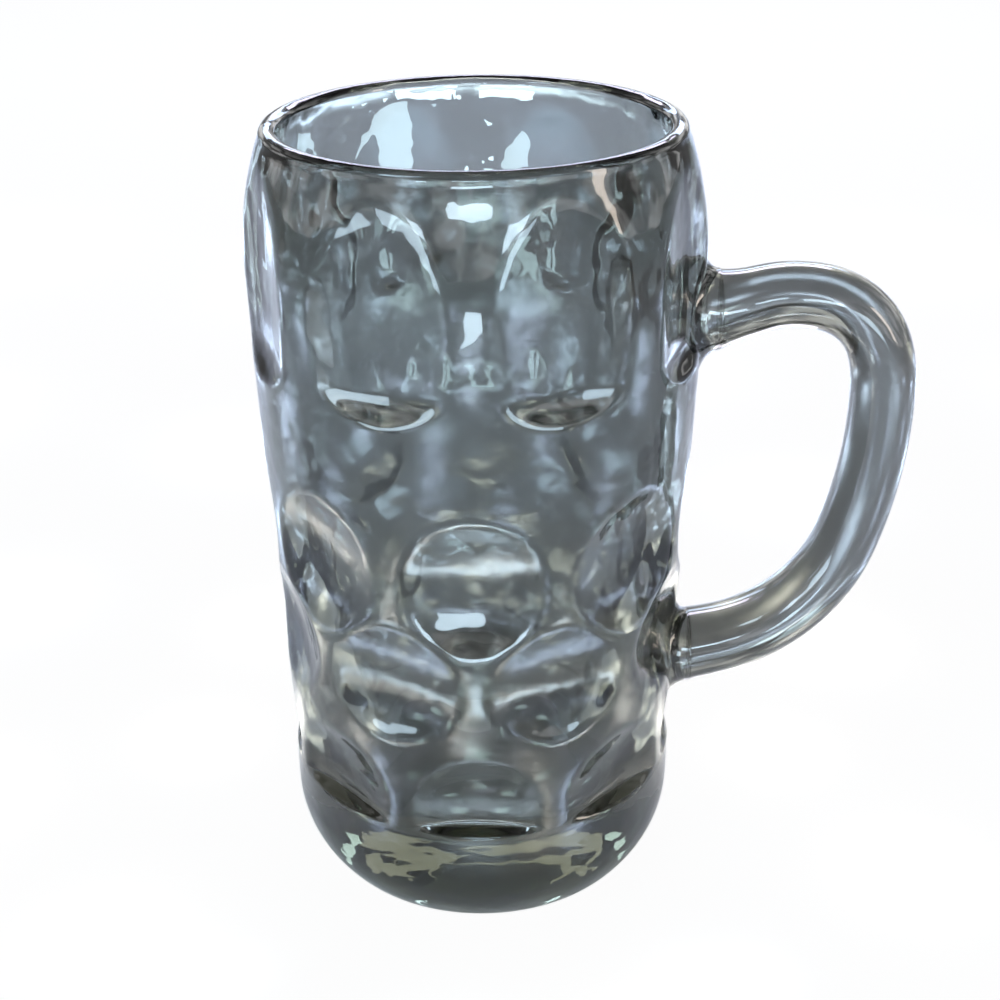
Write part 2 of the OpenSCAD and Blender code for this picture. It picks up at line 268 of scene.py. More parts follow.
def turned(name, rows, lowest, highest, marked):
    """A closed mesh: rows turned about Z, with a pole at each end of the section."""
    angle = np.arange(ROUND) * 2 * math.pi / ROUND
    r, z = np.array(rows).T * MM
    points = np.stack([np.outer(r, np.cos(angle)), np.outer(r, np.sin(angle)),
                       np.repeat(z[:, None], ROUND, 1)], -1).reshape(-1, 3)
    points = np.vstack([points, [(0, 0, lowest * MM), (0, 0, highest * MM)]])
    here = np.arange(len(rows) * ROUND).reshape(len(rows), ROUND)
    right = np.roll(here, -1, 1)
    quads = np.stack([here[:-1], right[:-1], right[1:], here[1:]], -1).reshape(-1, 4)
    bottom, top = len(points) - 2, len(points) - 1
    faces = quads.tolist() + [[bottom, b, a] for a, b in zip(here[0], right[0])]
    faces += [[top, a, b] for a, b in zip(here[-1], right[-1])]
    mesh = bpy.data.meshes.new(name)
    mesh.from_pydata(points.tolist(), [], faces)
    mask = np.zeros(len(points), np.float32)
    mask[:len(rows) * ROUND] = np.repeat(np.array(marked, np.float32), ROUND)
    mesh.attributes.new("outside", "FLOAT", "POINT").data.foreach_set("value", mask)
    mesh.attributes.new("pressed", "FLOAT", "POINT").data.foreach_set(
        "value", np.full(len(points), -1.0, np.float32))
    mesh.shade_smooth()
    thing = bpy.data.objects.new(name, mesh)
    bpy.context.scene.collection.objects.link(thing)
    return thing


marks = [0] * len(under) + [1] * (len(foot) + len(outside)) + [0] * (len(bead) + len(inside))
body = turned("mug_body", section, HOLLOW_DEPTH, FLOOR, marks)
print("body skin:", len(body.data.vertices), "points")

# %% [markdown]
# ## The dimples
# The mould has rows of round bosses, eight to a row, and each row is turned by half a step against
# the next, so that the dimples nest. Each boss is a shallow lens. That is a rule, so Geometry Nodes
# press it: a tree finds how far round and how far up a point is from the nearest dimple's middle,
# works out how deep the lens is there, and keeps the deepest cut so far in an attribute. The smooth
# maximum melts the edges together, as fire-polishing does. The same tree is used for each row.

# %% What a tree works out for a point
ON_THE_RING = [  # name, operation, and what it works on: an earlier name or a number
    ("angle", "ARCTAN2", "y", "x"),
    ("step", "DIVIDE", 2 * math.pi, "Dimples"),
    ("half_step", "DIVIDE", "step", 2.0),
    ("minus_half", "MULTIPLY", "half_step", -1.0),
    ("turned", "SUBTRACT", "angle", "First angle"),
    ("local", "WRAP", "turned", "half_step", "minus_half"),
    ("u", "DIVIDE", "local", "Half angle"),
    ("u2", "MULTIPLY", "u", "u"),
    ("x2", "MULTIPLY", "x", "x"),
    ("r2", "MULTIPLY_ADD", "y", "y", "x2"),
    ("radius", "SQRT", "r2"),
]
ROUND_DIMPLE = [
    ("rise", "SUBTRACT", "z", "Middle height"),
    ("v", "DIVIDE", "rise", "Half height"),
    ("rho2", "MULTIPLY_ADD", "v", "v", "u2"),
    ("share", "SUBTRACT", 1.0, "rho2"),
    ("lens", "MULTIPLY", "share", "Depth"),
    ("above_edge", "SUBTRACT", "z", "Foot edge"),
    ("slope", "TANGENT", "Foot slope"),
    ("run", "DIVIDE", "above_edge", "slope"),
    ("face", "SUBTRACT", "Foot radius", "run"),
    ("cosine", "COSINE", "local"),
    ("face_radius", "DIVIDE", "face", "cosine"),
    ("room", "SUBTRACT", "radius", "face_radius"),
    ("cut", "SMOOTH_MIN", "lens", "room", "Edge round"),
    ("deepest", "SMOOTH_MAX", "pressed", "cut", "Edge round"),
]
TALL_PANEL = [
    ("share", "SUBTRACT", 1.0, "u2"),
    ("scoop", "MULTIPLY", "share", "Depth"),
    ("shy", "SUBTRACT", "Widest radius", "radius"),
    ("under_sill", "SUBTRACT", "Middle height", "z"),
    ("below", "MAXIMUM", "under_sill", 0.0),
    ("below2", "MULTIPLY", "below", "below"),
    ("sill2", "MULTIPLY", "Sill radius", "Sill radius"),
    ("left2", "SUBTRACT", "sill2", "below2"),
    ("left2_safe", "MAXIMUM", "left2", 0.0),
    ("reach", "SQRT", "left2_safe"),
    ("lift", "SUBTRACT", "Sill radius", "reach"),
    ("flat_cut", "SUBTRACT", "scoop", "shy"),
    ("cut", "SUBTRACT", "flat_cut", "lift"),
    ("deepest", "SMOOTH_MAX", "pressed", "cut", "Edge round"),
]
print(len(ON_THE_RING + ROUND_DIMPLE), "steps for a dimple,", len(ON_THE_RING + TALL_PANEL),
      "for a panel")

# %% Build a tree that presses one row
def row_tree(name, sizes, steps):
    """A geometry tree whose named inputs are sizes, and which keeps the deepest cut so far."""
    tree = bpy.data.node_groups.new(name, "GeometryNodeTree")
    tree.interface.new_socket("Geometry", in_out="OUTPUT", socket_type="NodeSocketGeometry")
    tree.interface.new_socket("Geometry", in_out="INPUT", socket_type="NodeSocketGeometry")
    for size in sizes:
        tree.interface.new_socket(size, in_out="INPUT", socket_type="NodeSocketFloat")
    tree.interface.new_socket("Glass", in_out="INPUT", socket_type="NodeSocketMaterial")
    given = add_node(tree, "NodeGroupInput").outputs
    place = add_node(tree, "ShaderNodeSeparateXYZ", {
        0: add_node(tree, "GeometryNodeInputPosition").outputs[0]}).outputs
    before = add_node(tree, "GeometryNodeInputNamedAttribute", {"Name": "pressed"},
                      data_type="FLOAT").outputs["Attribute"]
    known = {"x": place["X"], "y": place["Y"], "z": place["Z"], "pressed": before}
    known |= {size: given[size] for size in sizes}
    for result, operation, *values in steps:
        known[result] = add_node(tree, "ShaderNodeMath", {
            i: known.get(v, v) for i, v in enumerate(values)}, operation=operation).outputs[0]
    kept = add_node(tree, "GeometryNodeStoreNamedAttribute", {
        "Geometry": given["Geometry"], "Name": "pressed", "Value": known["deepest"]},
        data_type="FLOAT", domain="POINT")
    real = add_node(tree, "GeometryNodeRealizeInstances", {0: kept.outputs["Geometry"]})
    dressed = add_node(tree, "GeometryNodeSetMaterial", {
        "Geometry": real.outputs[0], "Material": given["Glass"]})
    add_node(tree, "NodeGroupOutput", {"Geometry": dressed.outputs["Geometry"]})
    return tree


dimple_row = row_tree("press_row_of_dimples", [
    "Dimples", "First angle", "Half angle", "Middle height", "Half height", "Depth",
    "Foot radius", "Foot edge", "Foot slope", "Edge round"], ON_THE_RING + ROUND_DIMPLE)
panel_row = row_tree("press_row_of_tall_panels", [
    "Dimples", "First angle", "Half angle", "Middle height", "Depth",
    "Widest radius", "Sill radius", "Edge round"], ON_THE_RING + TALL_PANEL)
print("trees:", dimple_row.name, len(dimple_row.nodes), panel_row.name, len(panel_row.nodes))

# %% [markdown]
# A last tree moves each point of the outside in towards the axis by the depth that the rows left.

# %% Build the tree that moves the skin
push_in = bpy.data.node_groups.new("push_the_skin_in", "GeometryNodeTree")
push_in.interface.new_socket("Geometry", in_out="OUTPUT", socket_type="NodeSocketGeometry")
push_in.interface.new_socket("Geometry", in_out="INPUT", socket_type="NodeSocketGeometry")
push_in.interface.new_socket("Edge round", in_out="INPUT", socket_type="NodeSocketFloat")
push_in.interface.new_socket("Glass", in_out="INPUT", socket_type="NodeSocketMaterial")
given = add_node(push_in, "NodeGroupInput").outputs
level = add_node(push_in, "ShaderNodeVectorMath", {
    0: add_node(push_in, "GeometryNodeInputPosition").outputs[0], 1: (1.0, 1.0, 0.0)},
    operation="MULTIPLY")
inward = add_node(push_in, "ShaderNodeVectorMath", {0: level.outputs[0]}, operation="NORMALIZE")
cut = add_node(push_in, "GeometryNodeInputNamedAttribute", {"Name": "pressed"}, data_type="FLOAT")
depth = add_node(push_in, "ShaderNodeMath", {
    0: cut.outputs["Attribute"], 1: 0.0, 2: given["Edge round"]}, operation="SMOOTH_MAX")
mask = add_node(push_in, "GeometryNodeInputNamedAttribute", {"Name": "outside"}, data_type="FLOAT")
back = add_node(push_in, "ShaderNodeMath", {
    0: depth.outputs[0], 1: mask.outputs["Attribute"]}, operation="MULTIPLY")
shift = add_node(push_in, "ShaderNodeMath", {0: back.outputs[0], 1: -1.0}, operation="MULTIPLY")
offset = add_node(push_in, "ShaderNodeVectorMath", {
    0: inward.outputs[0], "Scale": shift.outputs[0]}, operation="SCALE")
moved = add_node(push_in, "GeometryNodeSetPosition", {
    "Geometry": given["Geometry"], "Offset": offset.outputs[0]})
real = add_node(push_in, "GeometryNodeRealizeInstances", {0: moved.outputs["Geometry"]})
dressed = add_node(push_in, "GeometryNodeSetMaterial", {
    "Geometry": real.outputs[0], "Material": given["Glass"]})
add_node(push_in, "NodeGroupOutput", {"Geometry": dressed.outputs["Geometry"]})
print("tree:", push_in.name, len(push_in.nodes))

# %% [markdown]
# Each row is one more modifier on the turned body, with its sizes set on the tree's inputs. The
# finished shape is then kept as a plain mesh, without the modifiers and the attributes that only
# the trees needed.

# %% Use a tree, and keep what it makes
HELPERS = ("pressed", "outside", "ratio", "hold", "centre", "ahead")


def add_tree(thing, tree, values):
    """Adds a tree to an object and sets its inputs, which modifiers know by identifier."""
    modifier = thing.modifiers.new(tree.name, "NODES")
    modifier.node_group = tree
    for item in tree.interface.items_tree:
        if item.in_out == "INPUT" and item.name in values:
            modifier[item.identifier] = values[item.name]


def plain_mesh(thing):
    """Turns an object and its live modifiers into a plain mesh, without the modifiers."""
    seen = thing.evaluated_get(bpy.context.evaluated_depsgraph_get())
    mesh = bpy.data.meshes.new_from_object(seen)
    thing.modifiers.clear()
    made = bpy.data.objects.new(thing.name, mesh)
    name = thing.name
    bpy.data.objects.remove(thing)
    made.name = name
    bpy.context.scene.collection.objects.link(made)
    for attribute in [a.name for a in mesh.attributes if a.name in HELPERS]:
        mesh.attributes.remove(mesh.attributes[attribute])
    return made


# %% Press the rows into the body
AROUND_BODY = 8.0
HALF_STEP = math.radians(180.0 / AROUND_BODY)
EDGE, PANEL_EDGE = 1.5 * MM, 5.0 * MM
DIMPLE_HALF_ANGLE, FOOT_SLOPE, NO_FOOT = math.radians(19.0), math.radians(18.0), -1000.0
DIMPLE_ROWS = [  # first angle, then middle, half height, depth and height of the foot's face in mm
    (0.0, 101.5, 18.6, 4.5, NO_FOOT),
    (HALF_STEP, 73.6, 16.4, 4.1, NO_FOOT),
    (0.0, 36.5, 16.8, 4.0, 30.6),
]
PANEL_HALF_ANGLE, PANEL_HEIGHT, PANEL_DEPTH, SILL = math.radians(17.0), 151.0, 3.6, 12.0
for first, middle, half, deep, foot_edge in DIMPLE_ROWS:
    add_tree(body, dimple_row, {
        "Dimples": AROUND_BODY, "First angle": first, "Half angle": DIMPLE_HALF_ANGLE,
        "Middle height": middle * MM, "Half height": half * MM, "Depth": deep * MM,
        "Foot radius": WAIST_RADIUS * MM, "Foot edge": foot_edge * MM, "Foot slope": FOOT_SLOPE,
        "Edge round": EDGE, "Glass": body_glass})
add_tree(body, panel_row, {
    "Dimples": AROUND_BODY, "First angle": HALF_STEP, "Half angle": PANEL_HALF_ANGLE,
    "Middle height": PANEL_HEIGHT * MM, "Depth": PANEL_DEPTH * MM, "Widest radius": WIDEST * MM,
    "Sill radius": SILL * MM, "Edge round": PANEL_EDGE, "Glass": body_glass})
add_tree(body, push_in, {"Edge round": EDGE, "Glass": body_glass})
body = plain_mesh(body)
sides = sum(len(p.vertices) - 2 for p in body.data.polygons)
print("body:", sides, "triangles")

# %% [markdown]
# ## The handle
# The handle is a gather of hot glass drawn out to a rod, bent and pressed on, thickest at its two
# ends. It follows a path, so Geometry Nodes sweep a circle along it: the circle's radius is half
# the thickness, and the result is then stretched sideways to the width. At both ends the rings are
# slid along the path so that the end faces stand upright, a little inside the collar of glass.

# %% The handle's path
HANDLE_TOP, HANDLE_RISE, HANDLE_START = 152.4, 15.0, 10.0
BENDS = [(32.0, 29.0), (20.0, 59.0), (35.0, 14.0), (122.0, 21.0), (46.5, 59.0)]  # radius, turn
COLLAR = 4.6  # from the wall to the handle's end face
OVERLAP, MELT = 1.2, 0.5  # how far the handle and its collar run into each other
STOPS, BEND_STEP = 8, 1.5  # points on a straight, and the distance between them on a bend


def direction(degrees):
    """A step of 1 mm at an angle above +X, as (x, z)."""
    return math.cos(math.radians(degrees)), math.sin(math.radians(degrees))


def handle_path():
    """Points (x, z) of the handle's middle line, a millimetre or two apart, in mm."""
    heading = HANDLE_RISE
    x = wall_radius(HANDLE_TOP) + COLLAR
    z = HANDLE_TOP
    dx, dz = direction(heading)
    stops = [-OVERLAP / dx, -MELT / dx, *np.linspace(0, HANDLE_START, STOPS)]
    path = [(x + dx * t, z + dz * t) for t in stops]
    for radius, turn in BENDS:
        x, z = path[-1]
        middle = (x + radius * math.sin(math.radians(heading)),
                  z - radius * math.cos(math.radians(heading)))
        steps = max(STOPS, round(radius * math.radians(turn) / BEND_STEP))
        for a in np.linspace(heading, heading - turn, steps + 1)[1:]:
            path.append((middle[0] - radius * math.sin(math.radians(a)),
                         middle[1] + radius * math.cos(math.radians(a))))
        heading -= turn
    x, z = path[-1]
    face = wall_radius(z) + COLLAR
    dx, dz = direction(heading)
    length = (face - OVERLAP - x) / dx
    stops = [*np.linspace(0, (face - MELT - x) / dx, STOPS)[1:], length]
    path += [(x + dx * t, z + dz * t) for t in stops]
    return path, length


path, end_length = handle_path()
curve = bpy.data.curves.new("handle_path", "CURVE")
curve.dimensions = "3D"
line = curve.splines.new("POLY")
line.points.add(len(path) - 1)
for point, (x, z) in zip(line.points, path):
    point.co = (x * MM, 0, z * MM, 1)
handle = bpy.data.objects.new("handle_loop", curve)
bpy.context.scene.collection.objects.link(handle)
print(len(path), "points, reach", round(max(x for x, _ in path), 1), "mm, lower end at",
      [round(c, 1) for c in path[-1]])

# %% [markdown]
# The tree gives each point of the path its thickness and the ratio of width to thickness, which
# grow towards the ends as the square of how far a point is into the root. The ratio, the point and
# its direction travel with the sweep, where they stretch it and set its ends upright.

# %% What the sweep works out for a point
SWEEP_SIZES = ["Width", "Thickness", "Upper thickness", "Lower thickness", "Spread",
               "Upper root", "Lower root", "Upper straight", "Lower straight", "Sides"]
SWEEP_STEPS = [
    ("to_end", "SUBTRACT", "total", "run"),
    ("up_a", "DIVIDE", "run", "Upper root"),
    ("up_b", "SUBTRACT", 1.0, "up_a"),
    ("up_c", "MAXIMUM", "up_b", 0.0),
    ("up", "MULTIPLY", "up_c", "up_c"),
    ("low_a", "DIVIDE", "to_end", "Lower root"),
    ("low_b", "SUBTRACT", 1.0, "low_a"),
    ("low_c", "MAXIMUM", "low_b", 0.0),
    ("low", "MULTIPLY", "low_c", "low_c"),
    ("more_up", "SUBTRACT", "Upper thickness", "Thickness"),
    ("more_low", "SUBTRACT", "Lower thickness", "Thickness"),
    ("thick_a", "MULTIPLY_ADD", "more_up", "up", "Thickness"),
    ("thick", "MULTIPLY_ADD", "more_low", "low", "thick_a"),
    ("roots", "ADD", "up", "low"),
    ("wide", "MULTIPLY_ADD", "Spread", "roots", "Width"),
    ("radius", "DIVIDE", "thick", 2.0),
    ("ratio", "DIVIDE", "wide", "thick"),
    ("hold_a", "DIVIDE", "run", "Upper straight"),
    ("hold_b", "SUBTRACT", 1.0, "hold_a"),
    ("hold_up", "MAXIMUM", "hold_b", 0.0),
    ("hold_c", "DIVIDE", "to_end", "Lower straight"),
    ("hold_d", "SUBTRACT", 1.0, "hold_c"),
    ("hold_low", "MAXIMUM", "hold_d", 0.0),
    ("hold", "ADD", "hold_up", "hold_low"),
]
print(len(SWEEP_STEPS), "steps for the handle")

# %% Sweep a circle along the path
sweep = bpy.data.node_groups.new("sweep_handle", "GeometryNodeTree")
sweep.interface.new_socket("Geometry", in_out="OUTPUT", socket_type="NodeSocketGeometry")
sweep.interface.new_socket("Geometry", in_out="INPUT", socket_type="NodeSocketGeometry")
for size in SWEEP_SIZES:
    kind = "NodeSocketInt" if size == "Sides" else "NodeSocketFloat"
    sweep.interface.new_socket(size, in_out="INPUT", socket_type=kind)
sweep.interface.new_socket("Glass", in_out="INPUT", socket_type="NodeSocketMaterial")
given = add_node(sweep, "NodeGroupInput").outputs
length = add_node(sweep, "GeometryNodeCurveLength", {0: given["Geometry"]})
known = {size: given[size] for size in SWEEP_SIZES}
known |= {"run": add_node(sweep, "GeometryNodeSplineParameter").outputs["Length"],
          "total": length.outputs["Length"]}
for result, operation, *values in SWEEP_STEPS:
    known[result] = add_node(sweep, "ShaderNodeMath", {
        i: known.get(v, v) for i, v in enumerate(values)}, operation=operation).outputs[0]
carried = given["Geometry"]
for name, value, kind in [
        ("ratio", known["ratio"], "FLOAT"), ("hold", known["hold"], "FLOAT"),
        ("centre", add_node(sweep, "GeometryNodeInputPosition").outputs[0], "FLOAT_VECTOR"),
        ("ahead", add_node(sweep, "GeometryNodeInputTangent").outputs[0], "FLOAT_VECTOR")]:
    carried = add_node(sweep, "GeometryNodeStoreNamedAttribute", {
        "Geometry": carried, "Name": name, "Value": value},
        data_type=kind, domain="POINT").outputs["Geometry"]
circle = add_node(sweep, "GeometryNodeCurvePrimitiveCircle", {
    "Resolution": given["Sides"], "Radius": 1.0})
tube = add_node(sweep, "GeometryNodeCurveToMesh", {
    "Curve": carried, "Profile Curve": circle.outputs["Curve"], "Scale": known["radius"],
    "Fill Caps": True})
print("sweep inputs:", [s.name for s in tube.inputs])

# %% [markdown]
# After the sweep, the sideways part of each point is stretched by the ratio. Then each point slides
# along the path's direction by as much as it stands out of the upright plane through its centre.

# %% Stretch the sweep and set its ends upright
named = {name: add_node(sweep, "GeometryNodeInputNamedAttribute", {"Name": name},
                        data_type=kind).outputs["Attribute"]
         for name, kind in [("ratio", "FLOAT"), ("hold", "FLOAT"),
                            ("centre", "FLOAT_VECTOR"), ("ahead", "FLOAT_VECTOR")]}
here = add_node(sweep, "ShaderNodeSeparateXYZ", {
    0: add_node(sweep, "GeometryNodeInputPosition").outputs[0]}).outputs
middle = add_node(sweep, "ShaderNodeSeparateXYZ", {0: named["centre"]}).outputs
ahead = add_node(sweep, "ShaderNodeSeparateXYZ", {0: named["ahead"]}).outputs
known = {"x": here["X"], "y": here["Y"], "cx": middle["X"], "tx": ahead["X"],
         "hold": named["hold"], "ratio": named["ratio"]}
for result, operation, *values in [
        ("out", "SUBTRACT", "cx", "x"), ("slide_a", "DIVIDE", "out", "tx"),
        ("slide", "MULTIPLY", "slide_a", "hold"),
        ("more", "SUBTRACT", "ratio", 1.0), ("sideways", "MULTIPLY", "more", "y")]:
    known[result] = add_node(sweep, "ShaderNodeMath", {
        i: known.get(v, v) for i, v in enumerate(values)}, operation=operation).outputs[0]
slid = add_node(sweep, "ShaderNodeVectorMath", {
    0: named["ahead"], "Scale": known["slide"]}, operation="SCALE")
stretch = add_node(sweep, "ShaderNodeCombineXYZ", {"Y": known["sideways"]})
both = add_node(sweep, "ShaderNodeVectorMath", {
    0: slid.outputs[0], 1: stretch.outputs[0]}, operation="ADD")
moved = add_node(sweep, "GeometryNodeSetPosition", {
    "Geometry": tube.outputs["Mesh"], "Offset": both.outputs[0]})
smooth = add_node(sweep, "GeometryNodeSetShadeSmooth", {"Geometry": moved.outputs["Geometry"]})
real = add_node(sweep, "GeometryNodeRealizeInstances", {0: smooth.outputs[0]})
dressed = add_node(sweep, "GeometryNodeSetMaterial", {
    "Geometry": real.outputs[0], "Material": given["Glass"]})
add_node(sweep, "NodeGroupOutput", {"Geometry": dressed.outputs["Geometry"]})
print("tree:", sweep.name, len(sweep.nodes))

# %% Sweep the handle
HANDLE_WIDE, HANDLE_THICK, ROOT_SPREAD = 19.0, 16.0, 2.4
UPPER_THICK, LOWER_THICK = 19.4, 18.6
UPPER_ROOT, LOWER_ROOT = 14.0, 80.0
SIDES = 64
add_tree(handle, sweep, {
    "Width": HANDLE_WIDE * MM, "Thickness": HANDLE_THICK * MM,
    "Upper thickness": UPPER_THICK * MM, "Lower thickness": LOWER_THICK * MM,
    "Spread": ROOT_SPREAD * MM, "Upper root": UPPER_ROOT * MM, "Lower root": LOWER_ROOT * MM,
    "Upper straight": HANDLE_START * MM, "Lower straight": end_length * MM,
    "Sides": SIDES, "Glass": handle_glass})
handle = plain_mesh(handle)
print("handle:", len(handle.data.polygons), "faces", [round(d / MM, 1) for d in handle.dimensions])

# %% [markdown]
# ## The collars
# Where hot glass is pressed on a wall it spreads to a collar, thick at the handle and thin on the
# wall. Each collar starts as the handle's oval and runs out over the wall in a hollow quarter of an
# ellipse, further up and down than to the sides. Its foot follows the dimpled skin, which is found
# by shooting rays at the body. Both ends of a collar run a little into their neighbours. Where
# glass has fused there is no skin between the two, so each face that lies inside a neighbour is
# marked, and the material leaves it clear: light then crosses as if the pieces were one.

# %% Find the body's skin
CLEAR_OF_BODY = 90.0
skin = BVHTree.FromObject(body, bpy.context.evaluated_depsgraph_get())


def skin_x(y, z):
    """How far out the body's skin is towards the handle, in mm."""
    hit = skin.ray_cast(Vector((CLEAR_OF_BODY * MM, y * MM, z * MM)), Vector((-1, 0, 0)))
    return hit[0].x / MM


print("the skin lies", round(skin_x(0, HANDLE_TOP), 1), "mm out at the upper collar")

# %% Mark the fused faces
COVER = 0.25  # how far out under a collar's skirt the body's skin is gone
covered = []


def fuse(thing, melted):
    """Marks the faces of a piece that lie inside its neighbour, where no skin is left."""
    marks = [1.0 if melted(p.center) else 0.0 for p in thing.data.polygons]
    thing.data.attributes.new(FUSED, "FLOAT", "FACE").data.foreach_set("value", marks)
    print(thing.name, "has", int(sum(marks)), "fused faces")


def within(outline_y, outline_z, y, z):
    """Whether a point lies inside a closed outline."""
    y0, z0, y1, z1 = outline_y, outline_z, np.roll(outline_y, -1), np.roll(outline_z, -1)
    crosses = (z0 > z) != (z1 > z)
    at = y0 + (z - z0) * (y1 - y0) / np.where(crosses, z1 - z0, 1.0)
    return np.count_nonzero(crosses & (y < at)) % 2 == 1


# %% Loft a collar
AROUND, FILLET_RINGS, CAP_RINGS = 72, 22, 10
SINK = 0.5  # how far a collar's foot lies under the body's skin
FACE_RINGS = [(0.0, 0.94), (0.15, 0.98)]  # distance behind the end face, share of the oval


def collar(name, face_x, face_z, tall, wide, up, down, side):
    """A collar from the handle's upright end face to the body's skin."""
    turns = np.arange(AROUND) * 2 * math.pi / AROUND
    upward, sideways = np.cos(turns), np.sin(turns)
    reach = side + np.where(upward > 0, up - side, down - side) * upward**2
    edge_y, edge_z = sideways * wide / 2, upward * tall / 2
    foot_y, foot_z = edge_y + sideways * reach, edge_z + upward * reach
    wall = np.array([skin_x(y, z + face_z) for y, z in zip(foot_y, foot_z)]) - SINK
    rings = [(np.full(AROUND, face_x - behind), share * edge_y, share * edge_z)
             for behind, share in FACE_RINGS]
    for t in np.linspace(0, 1, FILLET_RINGS):
        out, along = math.sin(t * math.pi / 2), 1 - math.cos(t * math.pi / 2)
        rings.append((face_x - MELT + (wall - face_x + MELT) * out,
                      edge_y + (foot_y - edge_y) * along, edge_z + (foot_z - edge_z) * along))
    for t in np.linspace(1, 0, CAP_RINGS + 1)[1:-1]:
        y, z = foot_y * t, foot_z * t
        rings.append((np.array([skin_x(a, b + face_z) for a, b in zip(y, z)]) - SINK, y, z))
    points = [np.stack([x, y, z + face_z], -1) for x, y, z in rings]
    points = np.vstack(points + [[(skin_x(0, face_z) - SINK, 0, face_z)]]) * MM
    here = np.arange(len(rings) * AROUND).reshape(len(rings), AROUND)
    right = np.roll(here, -1, 1)
    quads = np.stack([here[:-1], right[:-1], right[1:], here[1:]], -1).reshape(-1, 4)
    faces = quads.tolist() + [here[0][::-1].tolist()]
    faces += [[len(points) - 1, a, b] for a, b in zip(here[-1], right[-1])]
    mesh = bpy.data.meshes.new(name)
    mesh.from_pydata(points.tolist(), [], faces)
    mesh.shade_smooth()
    mesh.materials.append(collar_glass)
    thing = bpy.data.objects.new(name, mesh)
    bpy.context.scene.collection.objects.link(thing)
    fuse(thing, lambda c: c.x / MM > face_x - MELT or c.x / MM < skin_x(c.y / MM, c.z / MM))
    covered.append((edge_y + (foot_y - edge_y) * COVER,
                    edge_z + (foot_z - edge_z) * COVER + face_z))
    return thing


# %% Make the collars and fuse the pieces
LOWER_TILT = 180.0 + HANDLE_RISE - sum(turn for _, turn in BENDS)
SKIRT_UP, UPPER_SKIRT_DOWN, LOWER_SKIRT_DOWN, SKIRT_SIDE = 7.0, 12.0, 15.0, 2.6
HANDLE_SIDE, END_REACH = 0.9 * WAIST_RADIUS, 20.0
root_wide = HANDLE_WIDE + ROOT_SPREAD
low_x, low_z = path[-1]
ends = [(wall_radius(HANDLE_TOP) + COLLAR, HANDLE_TOP), (low_x + OVERLAP, low_z)]
upper = collar("upper_collar", *ends[0], UPPER_THICK / math.cos(math.radians(HANDLE_RISE)),
               root_wide, SKIRT_UP, UPPER_SKIRT_DOWN, SKIRT_SIDE)
lower = collar("lower_collar", *ends[1], LOWER_THICK / math.cos(math.radians(LOWER_TILT)),
               root_wide, SKIRT_UP, LOWER_SKIRT_DOWN, SKIRT_SIDE)
print("collars:", [[round(d / MM, 1) for d in c.dimensions] for c in (upper, lower)])
fuse(body, lambda c: c.x / MM > HANDLE_SIDE and any(
    within(*outline, c.y / MM, c.z / MM) for outline in covered))
fuse(handle, lambda c: any(
    c.x / MM < x - MELT and abs(c.z / MM - z) < END_REACH for x, z in ends))

# %% [markdown]
# ## The pieces and the CAD model
# Each piece stands for the node of the CAD model that it was built round. Nothing on the mug moves,
# so all four ride on the same body, and all are glass.

# %% Pieces take the places of the CAD nodes
for piece, node in [(body, "body"), (handle, "handle"),
                    (upper, "upper_weld"), (lower, "lower_weld")]:
    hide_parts(node)
    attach(piece, "root")
    print(piece.name, "stands for", node)

# %% [markdown]
# ## The floor and the room
# The mug stands on plain white paper, before a white wall. To the camera both are white. Glass has
# no look of its own: it shows what it mirrors and bends. Under an even white it looks like fog, so
# the rays that meet it see the real paper, with its light and shade and a share of white, and a
# white wall that is darker towards the ceiling and a little cloudy, as the walls of a room are.

# %% Rays that see the studio
scene = bpy.context.scene
scene.view_settings.view_transform = "Standard"


def seen_rays(tree):
    """1 for a ray from the camera, a mirror or a pane of glass, and 0 for the light itself."""
    rays = add_node(tree, "ShaderNodeLightPath").outputs
    first = add_node(tree, "ShaderNodeMath", {
        0: rays["Is Camera Ray"], 1: rays["Is Glossy Ray"]}, operation="MAXIMUM")
    return add_node(tree, "ShaderNodeMath", {
        0: first.outputs[0], 1: rays["Is Transmission Ray"]}, operation="MAXIMUM").outputs[0]


# %% The paper floor
FLOOR_REACH = 6.0
WHITE_SHARE, GLASS_SHARE = 0.96, 0.10
floor_mesh = bpy.data.meshes.new("studio_floor")
corners = [(x * FLOOR_REACH, y * FLOOR_REACH, 0) for x, y in ((-1, -1), (1, -1), (1, 1), (-1, 1))]
floor_mesh.from_pydata(corners, [], [(0, 1, 2, 3)])
floor = bpy.data.objects.new("studio_floor", floor_mesh)
scene.collection.objects.link(floor)
paper = bpy.data.materials.new("matt_white_paper")
paper.use_nodes = True
tree = paper.node_tree
tree.nodes.clear()
matt = add_node(tree, "ShaderNodeBsdfDiffuse", {"Color": linear("#f0f0ee")})
white = add_node(tree, "ShaderNodeEmission", {"Color": linear("#ffffff"), "Strength": 1.0})
rays = add_node(tree, "ShaderNodeLightPath").outputs
direct = add_node(tree, "ShaderNodeMath", {
    0: rays["Is Camera Ray"], 1: WHITE_SHARE - GLASS_SHARE}, operation="MULTIPLY")
share = add_node(tree, "ShaderNodeMath", {
    0: seen_rays(tree), 1: GLASS_SHARE, 2: direct.outputs[0]}, operation="MULTIPLY_ADD")
mixed = add_node(tree, "ShaderNodeMixShader", {
    0: share.outputs[0], 1: matt.outputs[0], 2: white.outputs[0]})
add_node(tree, "ShaderNodeOutputMaterial", {"Surface": mixed.outputs[0]})
floor_mesh.materials.append(paper)
print("floor:", 2 * FLOOR_REACH, "m wide,", WHITE_SHARE, "of it plain white to the camera")

